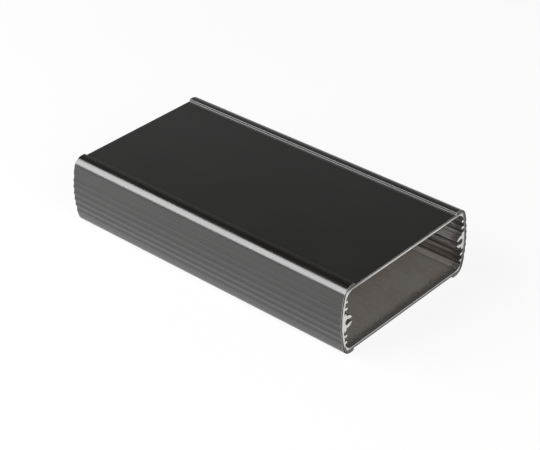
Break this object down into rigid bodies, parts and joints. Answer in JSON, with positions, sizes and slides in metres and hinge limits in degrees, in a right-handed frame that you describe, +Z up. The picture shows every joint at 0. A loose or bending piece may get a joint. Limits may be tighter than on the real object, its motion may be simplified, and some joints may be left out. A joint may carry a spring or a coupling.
{
  "type": "extruded aluminium enclosure",
  "caption": "Flat extruded aluminium enclosure body, open at both ends, with bowed ribbed sides, sunk top and bottom panels, board slots and screw channels.",
  "frame": {"origin": "under the middle of the body, on the plane that its bottom rails stand on", "axes": "+X along the extrusion, +Y across its width, +Z up"},
  "size_m": [0.15, 0.0814, 0.032],
  "materials": {
    "anodised_aluminium": "black anodised, satin, with bare sawn ends"
  },
  "bodies": {
    "root": {"extruded_body": "anodised_aluminium"}
  },
  "joints": []
}
